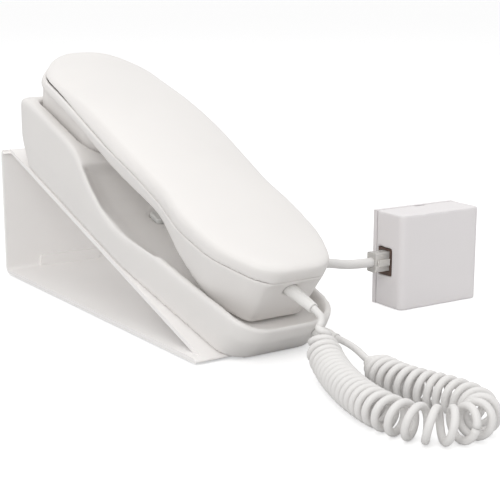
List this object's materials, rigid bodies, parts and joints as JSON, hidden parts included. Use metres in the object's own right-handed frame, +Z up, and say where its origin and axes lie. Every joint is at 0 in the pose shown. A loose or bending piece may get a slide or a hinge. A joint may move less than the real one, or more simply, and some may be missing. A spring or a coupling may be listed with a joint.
{
  "type": "intercom handset set",
  "caption": "Intercom handset lying in a cradle on a bent sheet desk stand, with a curly cord, a line cord and a small jack box.",
  "frame": {"origin": "middle of the stand pad's underside, on the desk", "axes": "+Z up, -Y towards the low front edge of the stand and the handset's mouth end, +X to the right seen from that end"},
  "size_m": [0.1772, 0.3534, 0.1217],
  "materials": {
    "stand_paint": "satin off-white powder coat",
    "pad_rubber": "matt",
    "cradle_plastic": "fine satin off-white",
    "handset_plastic": "fine satin off-white",
    "cord_plastic": "smooth off-white",
    "boot_plastic": "smooth off-white",
    "box_plastic": "satin off-white",
    "jack_plastic": "black",
    "plug_plastic": "clear",
    "screw_steel": "plated",
    "contact_metal": "gold flash",
    "board_laminate": "green resist",
    "part_plastic": "black",
    "seal_rubber": "matt",
    "key_plastic": "smooth off-white",
    "tie_plastic": "smooth white"
  },
  "bodies": {
    "root": {"stand_bracket": "stand_paint", "stand_foot_pad": "pad_rubber", "stand_screws": "screw_steel", "cradle_shell": "cradle_plastic", "cradle_back_plate": "cradle_plastic", "cradle_screws": "screw_steel", "cradle_circuit_board": "board_laminate", "board_screws": "screw_steel", "hook_spring": "screw_steel", "hook_switch": "part_plastic", "button_switch": "contact_metal", "call_buzzer": "part_plastic", "terminal_block": "board_laminate", "cradle_cord_boot": "boot_plastic", "curly_cord": "cord_plastic", "curly_cord_tail": "cord_plastic", "line_cord_coil": "cord_plastic", "line_cord_gland": "boot_plastic", "line_cord_inner": "cord_plastic", "line_cord_outer": "cord_plastic", "cord_tie": "tie_plastic", "box_cover": "box_plastic", "box_back": "box_plastic", "box_screws": "screw_steel", "jack_insert": "jack_plastic", "line_plug": "plug_plastic", "plug_contacts": "contact_metal", "jack_contacts": "contact_metal", "box_terminals": "contact_metal"},
    "handset": {"handset_top_shell": "handset_plastic", "handset_bottom_shell": "handset_plastic", "receiver_seal": "seal_rubber", "earpiece_receiver": "part_plastic", "microphone_holder": "seal_rubber", "microphone_capsule": "screw_steel", "handset_circuit_board": "board_laminate", "handset_screws": "screw_steel", "handset_cord_boot": "boot_plastic"},
    "hook": {"hook_plunger": "key_plastic"},
    "release_key": {"door_release_button": "key_plastic"}
  },
  "joints": [
    {"name": "handset_lift", "type": "slide", "parent": "root", "child": "handset", "axis": [0, -0.3274, 0.9449], "range_m": [0, 0.06], "deforming": ["curly_cord"]},
    {"name": "hook_rise", "type": "slide", "parent": "root", "child": "hook", "axis": [0, -0.3274, 0.9449], "range_m": [0, 0.004], "deforming": ["hook_spring"]},
    {"name": "door_release", "type": "slide", "parent": "root", "child": "release_key", "axis": [0, 0.3274, -0.9449], "range_m": [0, 0.0015], "stiffness_N_per_m": 300}
  ],
  "couplings": [
    {"joint": "hook_rise", "follows": "handset_lift", "ratio": 0.066667}
  ]
}
